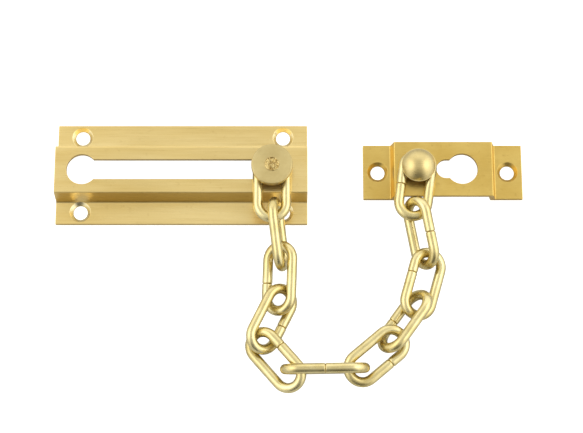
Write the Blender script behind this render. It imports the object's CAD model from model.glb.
"""Door chain guard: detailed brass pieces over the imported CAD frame. Metres, row frame."""
import bpy
import bmesh
import math
import numpy as np
from mathutils import Matrix, Vector, noise


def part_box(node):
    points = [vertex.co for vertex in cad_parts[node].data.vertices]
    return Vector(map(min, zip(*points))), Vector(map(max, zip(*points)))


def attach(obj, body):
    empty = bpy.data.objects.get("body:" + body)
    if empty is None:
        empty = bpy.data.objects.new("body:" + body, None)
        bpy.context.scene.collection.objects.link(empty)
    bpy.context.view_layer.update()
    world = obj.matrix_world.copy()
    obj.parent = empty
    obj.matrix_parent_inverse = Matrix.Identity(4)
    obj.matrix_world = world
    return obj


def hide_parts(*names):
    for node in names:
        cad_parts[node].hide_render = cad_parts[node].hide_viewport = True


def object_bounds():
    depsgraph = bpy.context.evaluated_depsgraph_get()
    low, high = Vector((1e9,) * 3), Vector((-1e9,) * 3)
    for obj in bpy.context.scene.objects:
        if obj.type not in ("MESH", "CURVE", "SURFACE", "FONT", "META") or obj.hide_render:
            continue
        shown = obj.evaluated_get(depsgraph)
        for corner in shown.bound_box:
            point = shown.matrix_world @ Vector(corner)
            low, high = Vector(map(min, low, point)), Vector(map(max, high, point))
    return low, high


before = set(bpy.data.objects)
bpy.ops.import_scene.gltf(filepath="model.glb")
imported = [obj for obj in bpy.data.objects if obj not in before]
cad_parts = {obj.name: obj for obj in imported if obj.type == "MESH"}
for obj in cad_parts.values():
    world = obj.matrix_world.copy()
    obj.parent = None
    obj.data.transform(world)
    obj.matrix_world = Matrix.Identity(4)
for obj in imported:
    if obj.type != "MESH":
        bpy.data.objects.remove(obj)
cad_box = [[float(c) for c in corner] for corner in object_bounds()]

MM = 0.001
PAST = 1 * MM          # how far a cutter runs past the surfaces it cuts
SHEET = 1.8 * MM       # thickness of both plates
SOFT = 0.25 * MM       # rounding of the feet's long edges
SHEARED = 0.2 * MM     # rounding of the plates' cut ends
RIM = 0.16 * MM        # rounding of the slot's and keyhole's rims
SCREW_D = 5.6 * MM
SINK_D = 8.3 * MM


# ---------------------------------------------------------------- mesh helpers
def box(node):
    """The lowest and highest corner of a CAD node."""
    return [Vector(c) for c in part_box(node)]


def mesh_object(name, verts, faces):
    """A mesh object from vertices in metres, its normals made to point outwards."""
    mesh = bpy.data.meshes.new(name)
    mesh.from_pydata([tuple(v) for v in verts], [], faces)
    bm = bmesh.new()
    bm.from_mesh(mesh)
    bmesh.ops.remove_doubles(bm, verts=bm.verts, dist=1e-7)
    bmesh.ops.recalc_face_normals(bm, faces=bm.faces)
    bm.to_mesh(mesh)
    bm.free()
    obj = bpy.data.objects.new(name, mesh)
    bpy.context.scene.collection.objects.link(obj)
    return obj


def smooth(obj, angle=32):
    """Smooth shading with edges sharper than angle kept, and normals weighted by face area."""
    obj.data.shade_smooth()
    obj.data.set_sharp_from_angle(angle=math.radians(angle))
    weighted = obj.modifiers.new("Weighted normals", "WEIGHTED_NORMAL")
    weighted.keep_sharp = True
    weighted.weight = 80


def volume(mesh):
    """The volume inside a closed mesh."""
    bm = bmesh.new()
    bm.from_mesh(mesh)
    result = bm.calc_volume()
    bm.free()
    return result


def cut(obj, cutters):
    """Subtracts the cutters from obj one by one, deletes them and stops if a cut took too little
    or too much."""
    least_left, most_left = 0.5, 0.9995
    for cutter in cutters:
        boolean = obj.modifiers.new("Cut", "BOOLEAN")
        boolean.operation = "DIFFERENCE"
        boolean.solver = "EXACT"
        boolean.object = cutter
        graph = bpy.context.evaluated_depsgraph_get()
        graph.update()
        mesh = bpy.data.meshes.new_from_object(obj.evaluated_get(graph))
        obj.modifiers.clear()
        before, after = volume(obj.data), volume(mesh)
        if not least_left * before < after < most_left * before:
            raise RuntimeError("a cut failed: %s %g %g" % (cutter.name, before, after))
        obj.data = mesh
        bpy.data.objects.remove(cutter, do_unlink=True)


def round_polygon(corners, steps=5):
    """A closed outline from (a, b, radius) corners, each rounded by an arc that touches both sides."""
    points = []
    count = len(corners)
    for i, (a, b, r) in enumerate(corners):
        here = Vector((a, b))
        back = (Vector(corners[i - 1][:2]) - here).normalized()
        ahead = (Vector(corners[(i + 1) % count][:2]) - here).normalized()
        half = back.angle(ahead) / 2
        run = r / math.tan(half)
        centre = here + (back + ahead).normalized() * (r / math.sin(half))
        start = here + back * run - centre
        turn = math.pi - 2 * half
        sign = 1 if back.x * ahead.y - back.y * ahead.x < 0 else -1
        for k in range(steps + 1):
            t = sign * turn * k / steps
            points.append(centre + Vector((start.x * math.cos(t) - start.y * math.sin(t),
                                           start.x * math.sin(t) + start.y * math.cos(t))))
    return points


def inset(points, d):
    """An anticlockwise outline moved inwards by d along its own normals."""
    count = len(points)
    moved = []
    for i in range(count):
        before = (points[i] - points[i - 1]).normalized()
        after = (points[(i + 1) % count] - points[i]).normalized()
        n1 = Vector((-before.y, before.x))
        n2 = Vector((-after.y, after.x))
        bisector = (n1 + n2).normalized()
        moved.append(points[i] + bisector * (d / max(0.5, bisector.dot(n1))))
    return moved


def area(points):
    """The area inside a closed outline, above zero where it runs anticlockwise."""
    return sum(p.x * q.y - q.x * p.y for p, q in zip(points, points[1:] + points[:1])) / 2


def rounding(r):
    """(how far in, how far aside) over a quarter-round edge of radius r, from its end inwards."""
    turns = [math.radians(phi) for phi in (90, 60, 30, 0)]
    return [(r * (1 - math.sin(t)), r * (1 - math.cos(t))) for t in turns]


def quads(rings, count, closed=False):
    """Faces between neighbouring rings of count vertices each, and back to the first if closed."""
    faces = []
    for q in range(rings if closed else rings - 1):
        a = q * count
        b = (q + 1) % rings * count
        faces += [(a + k, a + (k + 1) % count, b + (k + 1) % count, b + k) for k in range(count)]
    return faces


def channel(half, foot, face, top, inner, radii):
    """Twelve corners of a channel's section. radii are in mm: the bends at the feet, the two edges
    of the face, the edges where the hollow starts and the bends inside it."""
    bend, first_edge, second_edge, toe, hollow = (r * MM for r in radii)
    return [(-half, 0, SOFT), (-half, SHEET, SOFT), (-foot, SHEET, bend), (-face, top, first_edge),
            (face, top, second_edge), (foot, SHEET, bend), (half, SHEET, SOFT), (half, 0, SOFT),
            (foot - SHEET, 0, toe), (inner, top - SHEET, hollow),
            (-inner, top - SHEET, hollow), (-foot + SHEET, 0, toe)]


def channel_end(first, flipped, per_corner):
    """Faces that close an end of a channel: two flanges, two walls and the top, split at the middles
    of the twelve rounded corners. Vertices are numbered from first, backwards if flipped."""
    count = 12 * per_corner
    middle = per_corner // 2

    def run(a, b):
        start, stop = a * per_corner + middle, b * per_corner + middle
        return [k % count for k in range(start, stop + 1 + (count if stop < start else 0))]

    plates = [run(11, 2), run(2, 3) + run(10, 11), run(3, 4) + run(9, 10), run(4, 5) + run(8, 9),
              run(5, 8)]
    return [tuple(first + (count - 1 - k if flipped else k) for k in plate) for plate in plates]


def bar(name, corners, length, to_xyz):
    """A channel's section extruded over length about the middle, its cut ends slightly rounded."""
    outline = round_polygon(corners)
    flipped = area(outline) < 0
    if flipped:
        outline = outline[::-1]
    rings = [(-length / 2 + along, d) for along, d in rounding(SHEARED)]
    rings += [(-along, d) for along, d in reversed(rings)]
    verts = []
    for along, d in rings:
        verts += [to_xyz(along, p.x, p.y) for p in (inset(outline, d) if d > 0 else outline)]
    count = len(outline)
    faces = quads(len(rings), count)
    for first in (0, (len(rings) - 1) * count):
        faces += channel_end(first, flipped, count // 12)
    return mesh_object(name, verts, faces)


def stack(name, outline_at, levels):
    """A closed solid through outlines at rising heights. outline_at(offset) gives the points."""
    outlines = [outline_at(offset) for _, offset in levels]
    verts = [(x, y, z) for (z, _), outline in zip(levels, outlines) for x, y in outline]
    count = len(outlines[0])
    faces = quads(len(levels), count)
    faces.append(tuple(range(count)))
    faces.append(tuple(range(len(verts) - count, len(verts))))
    return mesh_object(name, verts, faces)


def rim_levels(low, high):
    """Heights and offsets of a cutter that leaves both rims of a sheet from low to high rounded."""
    rim = rounding(RIM)
    return ([(low - PAST, RIM)] + [(low + into, aside) for into, aside in rim]
            + [(high - into, aside) for into, aside in reversed(rim)] + [(high + PAST, RIM)])


def circle(x, y, r, steps=72):
    """Points of a circle about (x, y)."""
    return [(x + r * math.cos(2 * math.pi * k / steps), y + r * math.sin(2 * math.pi * k / steps))
            for k in range(steps)]


def screw_hole(x, y):
    """A cutter for a countersunk screw hole through a plate's foot, its edges a little rounded."""
    r = 0.12 * MM
    clear = 0.01 * MM
    depth = (SINK_D - SCREW_D) / 2
    mouth = depth + 0.6 * r
    levels = [(-PAST, r), (-clear, r), (0.3 * r, 0.3 * r), (r, 0),
              (SHEET - depth - r, 0), (SHEET - depth, 0.3 * r), (SHEET - depth + r, 0.9 * r),
              (SHEET - r, depth - r), (SHEET - 0.3 * r, depth - 0.1 * r),
              (SHEET + clear, mouth), (SHEET + PAST, mouth)]
    return stack("Screw_cut", lambda offset: circle(x, y, SCREW_D / 2 + offset), levels)


def keyhole(x1, r1, x2, r2, y=0.0):
    """Outlines of a round hole at x1 joined to a slot of half width r2 that ends round at x2."""
    def at(offset):
        a, b = r1 + offset, r2 + offset
        join_at = math.asin(b / a)
        sign = 1 if x2 > x1 else -1
        big = [join_at + (2 * math.pi - 2 * join_at) * k / 48 for k in range(49)]
        small = [-math.pi / 2 + math.pi * k / 32 for k in range(33)]
        return ([(x1 + sign * a * math.cos(t), y + a * math.sin(t)) for t in big]
                + [(x2 + sign * b * math.cos(t), y + b * math.sin(t)) for t in small])
    return at


def lathe(name, profile, steps):
    """A turned piece about Z from (radius, height) points that start and end on the axis."""
    verts = [(0, 0, profile[0][1])]
    verts += [(x, y, z) for r, z in profile[1:-1] for x, y in circle(0, 0, r, steps)]
    verts.append((0, 0, profile[-1][1]))
    last = len(verts) - 1
    faces = [tuple(1 + k for k in face) for face in quads(len(profile) - 2, steps)]
    for k in range(steps):
        j = (k + 1) % steps
        faces += [(0, 1 + j, 1 + k), (last - steps + k, last - steps + j, last)]
    return mesh_object(name, verts, faces)


def arc(cx, cz, r, start, end, steps=6):
    """(radius, height) points of an arc from start to end, in degrees from +radius to +height."""
    turns = [math.radians(start + (end - start) * k / steps) for k in range(steps + 1)]
    return [(cx + r * math.cos(t), cz + r * math.sin(t)) for t in turns]


# ---------------------------------------------------------------- materials
def add(tree, kind, **values):
    """A new node with its properties and inputs set by name, underscores standing for spaces."""
    node = tree.nodes.new(kind)
    for key, value in values.items():
        if hasattr(node, key):
            setattr(node, key, value)
        else:
            node.inputs[key.replace("_", " ")].default_value = value
    return node


def ramp(tree, value, stops):
    """The colour of a ramp through (place, grey or colour) stops at a value."""
    node = tree.nodes.new("ShaderNodeValToRGB")
    elements = node.color_ramp.elements
    while len(elements) < len(stops):
        elements.new(0.5)
    for element, (at, colour) in zip(elements, stops):
        element.position = at
        element.color = (*colour, 1) if isinstance(colour, tuple) else (colour, colour, colour, 1)
    tree.links.new(value, node.inputs["Fac"])
    return node.outputs["Color"]


def blend(tree, blend_type, a, b):
    """Two colours mixed in full."""
    mix = add(tree, "ShaderNodeMix", data_type="RGBA", blend_type=blend_type)
    mix.inputs["Factor"].default_value = 1.0
    tree.links.new(a, mix.inputs["A"])
    tree.links.new(b, mix.inputs["B"])
    return mix.outputs["Result"]


def speckle(tree, place, stretch, **values):
    """Noise over the object, stretched along x, y and z."""
    stretched = add(tree, "ShaderNodeMapping")
    stretched.inputs["Scale"].default_value = stretch
    texture = add(tree, "ShaderNodeTexNoise", Scale=1.0, **values)
    tree.links.new(place, stretched.inputs["Vector"])
    tree.links.new(stretched.outputs["Vector"], texture.inputs["Vector"])
    return texture.outputs["Fac"]


def stained(tree, place, colour, amount):
    """A colour with small brown stains."""
    spots = add(tree, "ShaderNodeTexNoise", Scale=420.0, Detail=4.0, Roughness=0.7)
    tree.links.new(place, spots.inputs["Vector"])
    mix = add(tree, "ShaderNodeMix", data_type="RGBA", blend_type="MULTIPLY")
    tree.links.new(ramp(tree, spots.outputs["Fac"], [(0.60, 0.0), (0.72, amount)]), mix.inputs["Factor"])
    tree.links.new(colour, mix.inputs["A"])
    mix.inputs["B"].default_value = (0.55, 0.44, 0.28, 1)
    return mix.outputs["Result"]


def swept(tree, place, colour, sweep):
    """A colour with its brightness changed along X by (x in mm, brightness) pairs."""
    low, high = sweep[0][0], sweep[-1][0]
    parts = add(tree, "ShaderNodeSeparateXYZ")
    tree.links.new(place, parts.inputs["Vector"])
    along_x = add(tree, "ShaderNodeMapRange")
    along_x.inputs["From Min"].default_value = low * MM
    along_x.inputs["From Max"].default_value = high * MM
    tree.links.new(parts.outputs["X"], along_x.inputs["Value"])
    levels = [((x - low) / (high - low), level) for x, level in sweep]
    return blend(tree, "MULTIPLY", colour, ramp(tree, along_x.outputs["Result"], levels))


def raised(tree, height, strength, depth, under=None):
    """A normal bumped by a height, over another normal if there is one."""
    bump = add(tree, "ShaderNodeBump", Strength=strength, Distance=depth)
    tree.links.new(height, bump.inputs["Height"])
    if under:
        tree.links.new(under, bump.inputs["Normal"])
    return bump.outputs["Normal"]


def brass(name, light, dark, rough, grain, bump, tone, pits=0.0, aniso=0.0, rings=0.0, spots=0.0,
          sweep=()):
    """Procedural brass. grain is the fine noise's stretch along x, y and z and tone that of the slow
    colour changes. bump, pits and rings are the strengths of the grain, of small pits and of
    turning marks. spots is the strength of the stains, and sweep is as in swept."""
    material = bpy.data.materials.new(name)
    material.use_nodes = True
    tree = material.node_tree
    link = tree.links.new
    shader = tree.nodes["Principled BSDF"]
    shader.inputs["Metallic"].default_value = 1.0
    shader.inputs["Anisotropic"].default_value = aniso
    place = add(tree, "ShaderNodeTexCoord").outputs["Object"]
    slow = speckle(tree, place, tone, Detail=3.0, Roughness=0.55)
    fine = speckle(tree, place, grain, Detail=5.0, Roughness=0.6)

    both = add(tree, "ShaderNodeMath", operation="MULTIPLY_ADD")
    both.inputs[1].default_value = 0.35
    link(fine, both.inputs[0])
    link(slow, both.inputs[2])
    colour = ramp(tree, both.outputs[0], [(0.45, dark), (0.85, light)])
    if spots:
        colour = stained(tree, place, colour, spots)
    if sweep:
        colour = swept(tree, place, colour, sweep)
    link(colour, shader.inputs["Base Color"])

    roughness = add(tree, "ShaderNodeMapRange")
    limits = {"From Min": 0.3, "From Max": 0.7, "To Min": rough * 0.85, "To Max": rough * 1.2}
    for key, value in limits.items():
        roughness.inputs[key].default_value = value
    link(fine, roughness.inputs["Value"])
    link(roughness.outputs["Result"], shader.inputs["Roughness"])

    normal = raised(tree, fine, bump, 0.06 * MM)
    if pits:
        small = add(tree, "ShaderNodeTexNoise", Scale=1800.0, Detail=3.0, Roughness=0.6)
        link(place, small.inputs["Vector"])
        normal = raised(tree, small.outputs["Fac"], pits, 0.05 * MM, normal)
    if rings:
        turning = add(tree, "ShaderNodeTexWave", wave_type="RINGS", rings_direction="Z",
                      wave_profile="SIN", Scale=900.0, Distortion=0.35, Detail=2.0)
        link(place, turning.inputs["Vector"])
        normal = raised(tree, turning.outputs["Fac"], rings, 0.04 * MM, normal)
    link(normal, shader.inputs["Normal"])
    return material


def lin(r, g, b):
    """A display colour of 0 to 255 as the linear values a shader takes."""
    return tuple(((c / 255 + 0.055) / 1.055) ** 2.4 for c in (r, g, b))


TRACK = brass("Drawn_brass", lin(248, 223, 155), lin(230, 200, 124), 0.30,
              grain=(40, 4200, 4200), bump=0.34, tone=(14, 110, 110), aniso=0.4, spots=0.2,
              sweep=((-50, 1.0), (-36, 0.97), (-15, 0.92), (30, 0.93), (44, 1.0), (50, 1.0)))
KEEPER = brass("Rolled_brass", lin(226, 196, 112), lin(212, 178, 92), 0.33,
               grain=(420, 3600, 3600), bump=0.22, tone=(60, 60, 60), pits=0.12, aniso=0.2, spots=0.3)
WIRE = brass("Wire_brass", lin(234, 219, 162), lin(206, 186, 122), 0.27,
             grain=(160, 1600, 1600), bump=0.30, tone=(120, 120, 120), pits=0.12, spots=0.35)
TURNED = brass("Turned_brass", lin(214, 195, 138), lin(200, 179, 120), 0.38,
               grain=(900, 900, 900), bump=0.15, tone=(90, 90, 90), pits=0.15, rings=0.5)
SWAGED = brass("Swaged_brass", lin(226, 204, 140), lin(150, 118, 58), 0.30,
               grain=(1500, 1500, 1500), bump=0.5, tone=(700, 700, 700), pits=0.35)
MACHINED = brass("Machined_brass", lin(250, 236, 190), lin(238, 218, 160), 0.22,
                 grain=(600, 600, 600), bump=0.10, tone=(90, 90, 90))
BRUSHED = brass("Brushed_brass", lin(226, 208, 150), lin(206, 184, 122), 0.30,
                grain=(260, 4200, 4200), bump=0.55, tone=(90, 90, 90), pits=0.06)


def dress(obj, material, body, node, sunk=()):
    """Puts obj in place of a CAD node, and gives the cone of each countersink in sunk the colour of
    fresh-cut brass."""
    obj.data.materials.append(material)
    if sunk:
        obj.data.materials.append(MACHINED)
        reach = SINK_D / 2 - 0.05 * MM
        for face in obj.data.polygons:
            near = min(math.hypot(face.center.x - x, face.center.y - y) for x, y in sunk)
            cone = near < reach and 0.3 < abs(face.normal.z) < 0.97
            face.material_index = 1 if cone else 0
    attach(obj, body)
    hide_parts(node)


# ---------------------------------------------------------------- track plate
low, high = box("track_plate")
track_top = high.z
face_y = 9.5 * MM
foot_y = 11.4 * MM
inner_y = face_y - SHEET + 0.3 * MM
entry_x = -39.2 * MM
entry_r = 6.1 * MM
slot_end = 36.2 * MM
slot_r = 4 * MM
screw_x = 40.25 * MM
screw_y = 15.5 * MM

section = channel(high.y, foot_y, face_y, track_top, inner_y, (0.9, 0.45, 0.8, 0.2, 0.5))
track = bar("Track_plate", section, high.x - low.x, lambda a, y, z: (a, y, z))
screws = [(sx * screw_x, sy * screw_y) for sx in (-1, 1) for sy in (-1, 1)]
slot_cut = stack("Slot_cut", keyhole(entry_x, entry_r, slot_end, slot_r),
                 rim_levels(track_top - SHEET, track_top))
cut(track, [slot_cut] + [screw_hole(x, y) for x, y in screws])
smooth(track)
dress(track, TRACK, "track", "track_plate", sunk=screws)

# ---------------------------------------------------------------- keeper plate
low, high = box("keeper_plate")
keeper_x = (low.x + high.x) / 2
keeper_y = (low.y + high.y) / 2
keeper_top = high.z
rise = keeper_top - SHEET
face_x = 19.6 * MM
foot_x = face_x + 1.1 * MM
inner_x = face_x - SHEET
park_x = keeper_x + 7.4 * MM
park_r = 6.2 * MM
rest_x = keeper_x + 1 * MM
rest_r = 3.8 * MM
rivet_x = keeper_x - 10.2 * MM
rivet_hole_r = 2.3 * MM
keeper_screw_x = 25.9 * MM

section = channel((high.x - low.x) / 2, foot_x, face_x, keeper_top, inner_x, (0.5, 0.6, 0.6, 0.3, 0.4))
keeper = bar("Keeper_plate", section, high.y - low.y, lambda a, x, z: (keeper_x + x, keeper_y + a, z))
keyhole_cut = stack("Keyhole_cut", keyhole(park_x, park_r, rest_x, rest_r, keeper_y),
                    rim_levels(rise, keeper_top))
rivet_cut = stack("Rivet_cut", lambda offset: circle(rivet_x, keeper_y, rivet_hole_r + offset),
                  [(rise - PAST, 0), (keeper_top + PAST, 0)])
cut(keeper, [keyhole_cut, rivet_cut]
    + [screw_hole(keeper_x + side * keeper_screw_x, keeper_y) for side in (-1, 1)])
smooth(keeper)
dress(keeper, KEEPER, "keeper", "keeper_plate")

# ---------------------------------------------------------------- keeper rivet
low, high = box("keeper_rivet")
dome_r = (high.x - low.x) / 2
dome_h = 4 * MM
dome_low = high.z - dome_h
ball_r = (dome_r ** 2 + dome_h ** 2) / (2 * dome_h)
reach = math.asin((dome_r - 0.25 * MM) / ball_r)
dome_steps = 22
tail_r = 3.5 * MM
shank_r = 2.25 * MM
neck_r = 2.75 * MM
neck_fillet = 0.3 * MM
lip_r = 0.28 * MM

profile = [(0, low.z), (2.3 * MM, low.z), (2.75 * MM, low.z + 0.1 * MM), (tail_r, rise - 0.05 * MM),
           (tail_r, rise), (shank_r, rise), (shank_r, keeper_top), (neck_r, keeper_top)]
profile += arc(neck_r + neck_fillet, dome_low - neck_fillet, neck_fillet, 180, 90, 4)
profile += arc(dome_r - 0.3 * MM, dome_low + lip_r, lip_r, -90, 20, 5)
tilts = [reach * (1 - k / dome_steps) for k in range(dome_steps)]
profile += [(ball_r * math.sin(t), high.z - ball_r + ball_r * math.cos(t)) for t in tilts]
profile.append((0, high.z))
rivet = lathe("Keeper_rivet", profile, 128)
rivet.location = (rivet_x, keeper_y, 0)
smooth(rivet, 40)
dress(rivet, BRUSHED, "keeper", "keeper_rivet")

# ---------------------------------------------------------------- runner
low, high = box("runner_stud")
button_low, button_high = box("runner_button")
runner_x = (low.x + high.x) / 2
button_r = (button_high.x - button_low.x) / 2
flange_r = 5.6 * MM
flange_top = low.z + 2 * MM
flange_edge = 0.3 * MM
shoulder_r = 3.7 * MM
shoulder_top = track_top + 0.2 * MM
shoulder_bevel = 0.15 * MM
stem_r = 2.75 * MM
end_r = 2.72 * MM
end_z = button_high.z + 0.16 * MM


def hammer(obj, above):
    """Makes the peened end above a height irregular: lumps, creases, a dented ring and a crater."""
    for v in obj.data.vertices:
        if v.co.z <= above:
            continue
        r = math.hypot(v.co.x, v.co.y)
        p = Vector((v.co.x, v.co.y, 0)) * 900
        lump = noise.noise(p * 1.1 + Vector((4, 1, 7)))
        crease = max(0.0, 1 - abs(noise.noise(p * 1.25 + Vector((9, 3, 2)))) * 6)
        crater = math.exp(-((v.co.x - 0.5 * MM) ** 2 + (v.co.y - 1.55 * MM) ** 2) / (0.6 * MM) ** 2)
        ring = math.exp(-((r - 2.25 * MM + 0.35 * MM * lump) / (0.22 * MM)) ** 2)
        fade = min(1.0, max(0.0, (end_r - r) / (0.25 * MM)))
        v.co.z += fade * MM * (0.22 * lump - 0.26 * crease - 0.30 * ring * (0.6 + lump) - 0.40 * crater)
        if r > 2.3 * MM:
            swell = 1 + 0.035 * noise.noise(Vector((v.co.x, v.co.y, 0)).normalized() * 2.4)
            v.co.x *= swell
            v.co.y *= swell


profile = [(0, low.z), (flange_r - flange_edge, low.z)]
profile += arc(flange_r - flange_edge, low.z + flange_edge, flange_edge, -60, 0, 3)
profile += arc(flange_r - flange_edge, flange_top - flange_edge, flange_edge, 0, 90, 4)
profile += [(shoulder_r, flange_top), (shoulder_r, shoulder_top - shoulder_bevel),
            (shoulder_r - shoulder_bevel, shoulder_top), (stem_r, shoulder_top),
            (stem_r, button_high.z - 0.04 * MM), (stem_r + 0.10 * MM, button_high.z + 0.02 * MM),
            (stem_r + 0.06 * MM, button_high.z + 0.10 * MM)]
profile += [(end_r * k / 20.2, end_z) for k in range(20, 0, -1)] + [(0, end_z)]
stud = lathe("Runner_stud", profile, 120)
hammer(stud, button_high.z)
stud.location = (runner_x, 0, 0)
smooth(stud, 50)
dress(stud, SWAGED, "runner", "runner_stud")

bore_r = stem_r + 0.03 * MM
profile = [(bore_r, button_low.z), (button_r - 0.5 * MM, button_low.z)]
profile += arc(button_r - 0.3 * MM, button_low.z + 0.3 * MM, 0.3 * MM, -80, 0, 4)
profile += arc(button_r - 0.4 * MM, button_high.z - 0.4 * MM, 0.4 * MM, 0, 84, 6)
profile += [(button_r - 1.2 * MM, button_high.z), (stem_r + 1.6 * MM, button_high.z - 0.01 * MM),
            (stem_r + 0.5 * MM, button_high.z - 0.03 * MM), (bore_r, button_high.z - 0.06 * MM)]
around = 128
button = mesh_object("Runner_button", [(x, y, z) for r, z in profile for x, y in circle(0, 0, r, around)],
                     quads(len(profile), around, closed=True))
button.location = (runner_x, 0, 0)
smooth(button, 35)
dress(button, TURNED, "runner", "runner_button")


# ---------------------------------------------------------------- chain
def pose_of(node):
    """Centre, long axis, normal and length of a link, from its CAD mesh."""
    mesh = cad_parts[node].data
    points = np.array([v.co[:] for v in mesh.vertices])
    mesh.calc_loop_triangles()
    corners = points[np.array([t.vertices[:] for t in mesh.loop_triangles])]
    areas = np.linalg.norm(np.cross(corners[:, 1] - corners[:, 0], corners[:, 2] - corners[:, 0]),
                           axis=1) / 2
    middles = corners.mean(axis=1)
    centre = (middles * areas[:, None]).sum(axis=0) / areas.sum()
    spread = np.zeros((3, 3))
    for weight, three in zip(areas, corners - centre):
        total = three.sum(axis=0)
        spread += weight * (three.T @ three + np.outer(total, total)) / 12
    _, vectors = np.linalg.eigh(spread)
    length = np.ptp((points - centre) @ vectors[:, 2])
    return Vector(centre), Vector(vectors[:, 2]), Vector(vectors[:, 0]), length


links = ["chain_link_%02d" % (i + 1) for i in range(11)]
poses = [pose_of(name) for name in links]
link_w = 15.2 * MM
wire_r = 2 * MM
crown_r = link_w / 2 - wire_r
# Which leg has the butt seam (+1 on the link's left, seen along the chain) and how far it is from
# the middle of the leg, towards the next link, in millimetres
seams = [(-1, -7.0), (1, -7.0), (-1, 2.0), (1, 0.5), (1, -2.4), (-1, 0.0),
         (-1, 2.6), (1, -2.0), (1, 3.0), (-1, -0.5), (1, -0.4)]


def wire_link(name, length, seam_side, seam_at, seed):
    """A bent wire link along X, its ends butted at a seam, the wire a touch uneven as drawn wire is."""
    leg = length - link_w
    bend = math.pi * crown_r
    total = 2 * leg + 2 * bend
    rng = np.random.default_rng(seed)
    shift = Vector((0, rng.uniform(-0.10, 0.10) * MM, rng.uniform(-0.12, 0.12) * MM))

    def centre(s):
        """Point and tangent at arc length s from the middle of the leg on the seam's side."""
        s = s % total
        if s < leg / 2:
            p, t = (s, crown_r), (1, 0)
        elif s < leg / 2 + bend:
            a = math.pi / 2 - (s - leg / 2) / crown_r
            p, t = (leg / 2 + crown_r * math.cos(a), crown_r * math.sin(a)), (math.sin(a), -math.cos(a))
        elif s < 1.5 * leg + bend:
            p, t = (leg + bend - s, -crown_r), (-1, 0)
        elif s < 1.5 * leg + 2 * bend:
            a = -math.pi / 2 - (s - 1.5 * leg - bend) / crown_r
            p, t = (-leg / 2 + crown_r * math.cos(a), crown_r * math.sin(a)), (math.sin(a), -math.cos(a))
        else:
            p, t = (s - total, crown_r), (1, 0)
        return Vector((p[0], p[1] * seam_side, 0)), Vector((t[0], t[1] * seam_side, 0))

    # millimetres from the seam, and the wire's radius there as a part of the full one
    near = [(0.0, 0.72), (0.06, 0.80), (0.12, 0.91), (0.2, 0.965), (0.34, 0.99), (0.6, 1.0), (1.0, 1.0)]
    half = total / 2
    far = [1.0 + (half / MM - 1.0) * k / 44 for k in range(1, 45)]
    stations = [(d * MM, f) for d, f in near] + [(d * MM, 1.0) for d in far]
    rings = [(-d, f) for d, f in reversed(stations[1:-1])] + stations
    verts = []
    around = 32
    for d, f in rings:
        p, t = centre(seam_at * MM + d)
        side = Vector((t.y, -t.x, 0))
        ease = math.exp(-abs(d) / (2.5 * MM)) * (0.5 if d >= 0 else -0.5)
        p = p + shift * ease
        for across, up in circle(0, 0, 1, around):
            out = side * across + Vector((0, 0, 1)) * up
            spot = p + out * wire_r
            wobble = noise.noise(spot * 160 + Vector((seed * 3.7, 1, 2))) * 0.035 * MM
            verts.append(p + out * (wire_r * f + wobble - 0.02 * MM))
    obj = mesh_object(name, verts, quads(len(rings), around, closed=True))
    smooth(obj, 60)
    return obj


for i, (centre, long_axis, normal, length) in enumerate(poses):
    onward = poses[i + 1][0] - centre if i < 10 else centre - poses[i - 1][0]
    if long_axis.dot(onward) < 0:
        long_axis = -long_axis
    if normal.z < 0:
        normal = -normal
    width_axis = normal.cross(long_axis)
    link = wire_link("Chain_link_%02d" % (i + 1), length, seams[i][0], seams[i][1], i + 1)
    turn = Matrix((long_axis, width_axis, normal)).transposed().to_4x4()
    link.matrix_world = Matrix.Translation(centre) @ turn
    dress(link, WIRE, "link_%02d" % (i + 1), links[i])

# ---------------------------------------------------------------- floor, light, camera
def pale_floor():
    """Grey paper that the camera sees as white."""
    material = bpy.data.materials.new("Pale_floor")
    material.use_nodes = True
    tree = material.node_tree
    shader = tree.nodes["Principled BSDF"]
    shader.inputs["Base Color"].default_value = (0.6, 0.6, 0.6, 1)
    shader.inputs["Roughness"].default_value = 0.9
    shader.inputs["Specular IOR Level"].default_value = 0.1
    shader.inputs["Emission Color"].default_value = (1, 1, 1, 1)
    seen = add(tree, "ShaderNodeLightPath").outputs["Is Camera Ray"]
    lift = add(tree, "ShaderNodeMath", operation="MULTIPLY")
    lift.inputs[1].default_value = 0.9
    tree.links.new(seen, lift.inputs[0])
    tree.links.new(lift.outputs[0], shader.inputs["Emission Strength"])
    return material


floor_x = 0.04
floor_z = cad_box[0][2] - 0.1 * MM
half_x, half_y = 0.9, 0.7
corners = [(-half_x, -half_y), (half_x, -half_y), (half_x, half_y), (-half_x, half_y)]
floor = mesh_object("Floor", [(floor_x + x, y, floor_z) for x, y in corners], [(0, 1, 2, 3)])
floor.data.materials.append(pale_floor())


def along(tree, component, stops):
    """A ramp over one component of a direction, with its stops at -1 to 1."""
    scaled = add(tree, "ShaderNodeMath", operation="MULTIPLY_ADD")
    scaled.inputs[1].default_value = 0.5
    scaled.inputs[2].default_value = 0.5
    tree.links.new(component, scaled.inputs[0])
    return ramp(tree, scaled.outputs[0], [((at + 1) / 2, level) for at, level in stops])


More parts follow.
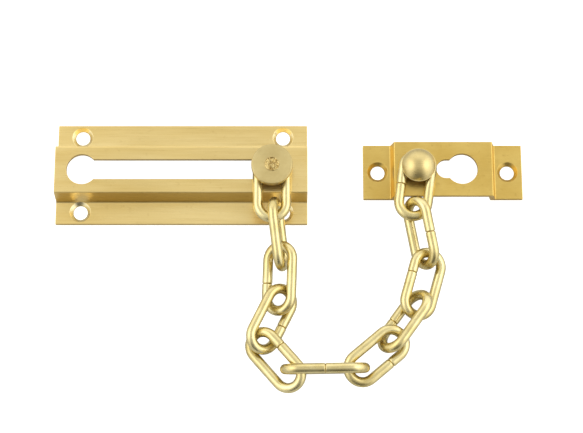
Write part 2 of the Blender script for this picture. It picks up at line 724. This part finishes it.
def studio():
    """A room that is brightest overhead and dark in front, with bright walls at both sides and at
    the back. The camera sees it as near white."""
    world = bpy.data.worlds.new("Studio")
    world.use_nodes = True
    tree = world.node_tree
    background = tree.nodes["Background"]
    parts = add(tree, "ShaderNodeSeparateXYZ")
    tree.links.new(add(tree, "ShaderNodeTexCoord").outputs["Generated"], parts.inputs["Vector"])
    x, y, z = (parts.outputs[axis] for axis in "XYZ")
    overhead = along(tree, z, [(-0.1, 0.26), (0.1, 0.32), (0.4, 0.56), (0.85, 0.815)])
    dome = blend(tree, "MULTIPLY", overhead, along(tree, y, [(-0.85, 0.33), (-0.2, 1.0)]))
    side_walls = along(tree, x, [(-1.0, 0.8), (-0.72, 0.92), (-0.3, 0.0), (0.3, 0.0), (0.72, 1.0),
                                 (1.0, 0.95)])
    back_wall = along(tree, y, [(0.44, 0.0), (0.8, 0.8)])
    walls = blend(tree, "LIGHTEN", side_walls, back_wall)
    path = add(tree, "ShaderNodeLightPath")
    seen = add(tree, "ShaderNodeMix", data_type="RGBA", blend_type="MIX")
    tree.links.new(path.outputs["Is Camera Ray"], seen.inputs["Factor"])
    tree.links.new(blend(tree, "ADD", dome, walls), seen.inputs["A"])
    seen.inputs["B"].default_value = (0.95, 0.95, 0.95, 1)
    tree.links.new(seen.outputs["Result"], background.inputs["Color"])
    background.inputs["Strength"].default_value = 1.0
    return world


bpy.context.scene.world = studio()


def softbox(name, at, aim, wide, tall, watts):
    """A rectangular soft light at a place, turned to its aim."""
    data = bpy.data.lights.new(name, "AREA")
    data.shape = "RECTANGLE"
    data.size = wide
    data.size_y = tall
    data.energy = watts
    obj = bpy.data.objects.new(name, data)
    bpy.context.scene.collection.objects.link(obj)
    obj.location = at
    obj.rotation_euler = (Vector(aim) - Vector(at)).to_track_quat("-Z", "Y").to_euler()


aim = (0.044, -0.02, 0)
softbox("Left_softbox", (-0.62, 0.05, 0.75), aim, 0.9, 0.55, 1.0)
softbox("Right_softbox", (0.72, 0.05, 0.75), aim, 0.9, 0.55, 1.0)

camera_data = bpy.data.cameras.new("Camera")
camera_data.lens = 99.3
camera_data.sensor_width = 36
camera_data.sensor_fit = "HORIZONTAL"
camera_data.clip_start = 0.01
camera = bpy.data.objects.new("Camera", camera_data)
bpy.context.scene.collection.objects.link(camera)
camera.location = (0.04366, -0.18248, 0.61819)
camera.rotation_euler = (math.radians(15), 0, 0)
bpy.context.scene.camera = camera

bpy.context.scene.view_settings.view_transform = "Standard"
bpy.context.scene.view_settings.look = "None"
